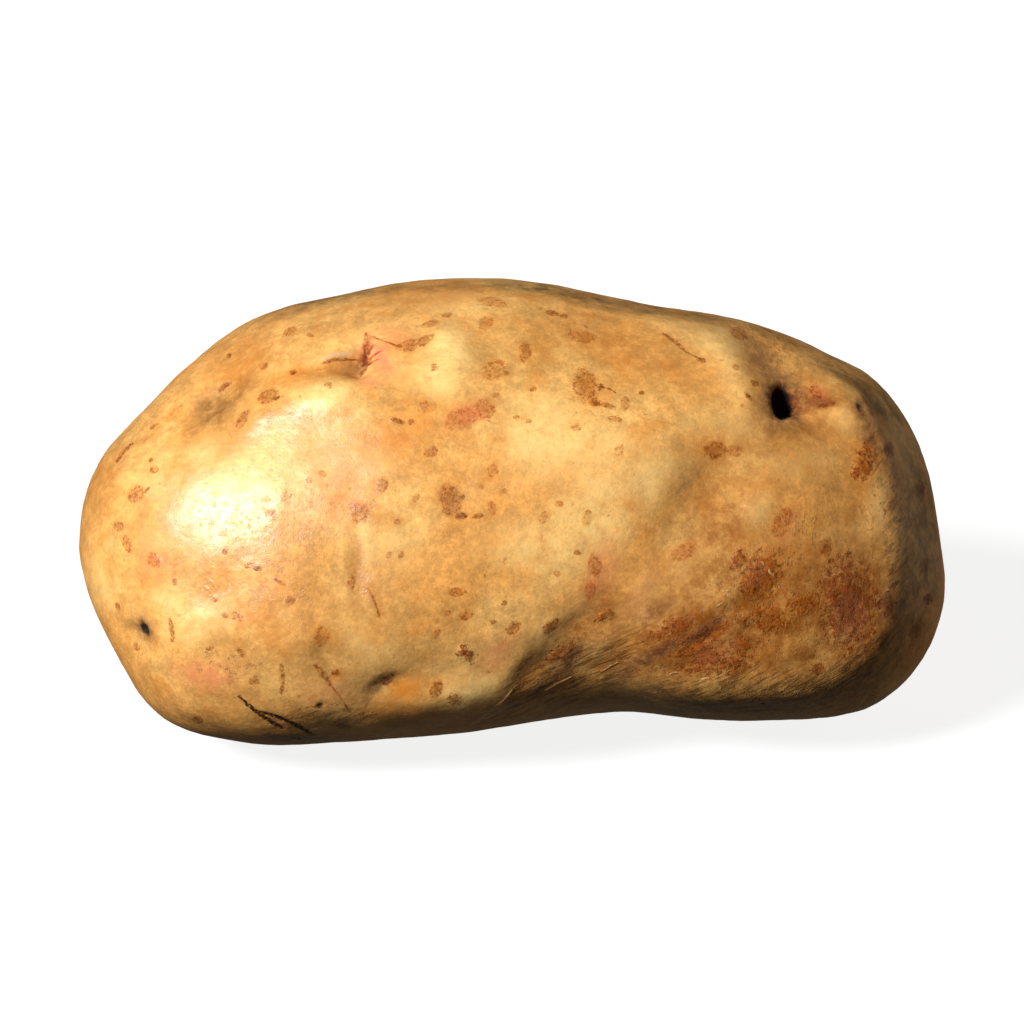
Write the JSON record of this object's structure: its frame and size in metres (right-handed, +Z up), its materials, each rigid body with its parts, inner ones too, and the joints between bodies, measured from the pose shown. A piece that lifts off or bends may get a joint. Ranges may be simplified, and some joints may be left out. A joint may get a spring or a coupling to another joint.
{
  "type": "potato",
  "caption": "Washed yellow potato: one long solid tuber with sunken eyes, a shallow waist, a blunt lobed end and small flats worn underneath to rest on.",
  "frame": {"origin": "On the ground, under the centre of the bounding box.", "axes": "+X runs along the tuber towards its blunt lobed end, -Y is the side with the two deepest eyes, and +Z is up from the flats it rests on."},
  "size_m": [0.1096, 0.064, 0.0566],
  "materials": {
    "skin": "thin moist golden skin with brown lenticels and russet patches, softly glossy"
  },
  "bodies": {
    "root": {"potato": "skin"}
  },
  "joints": []
}
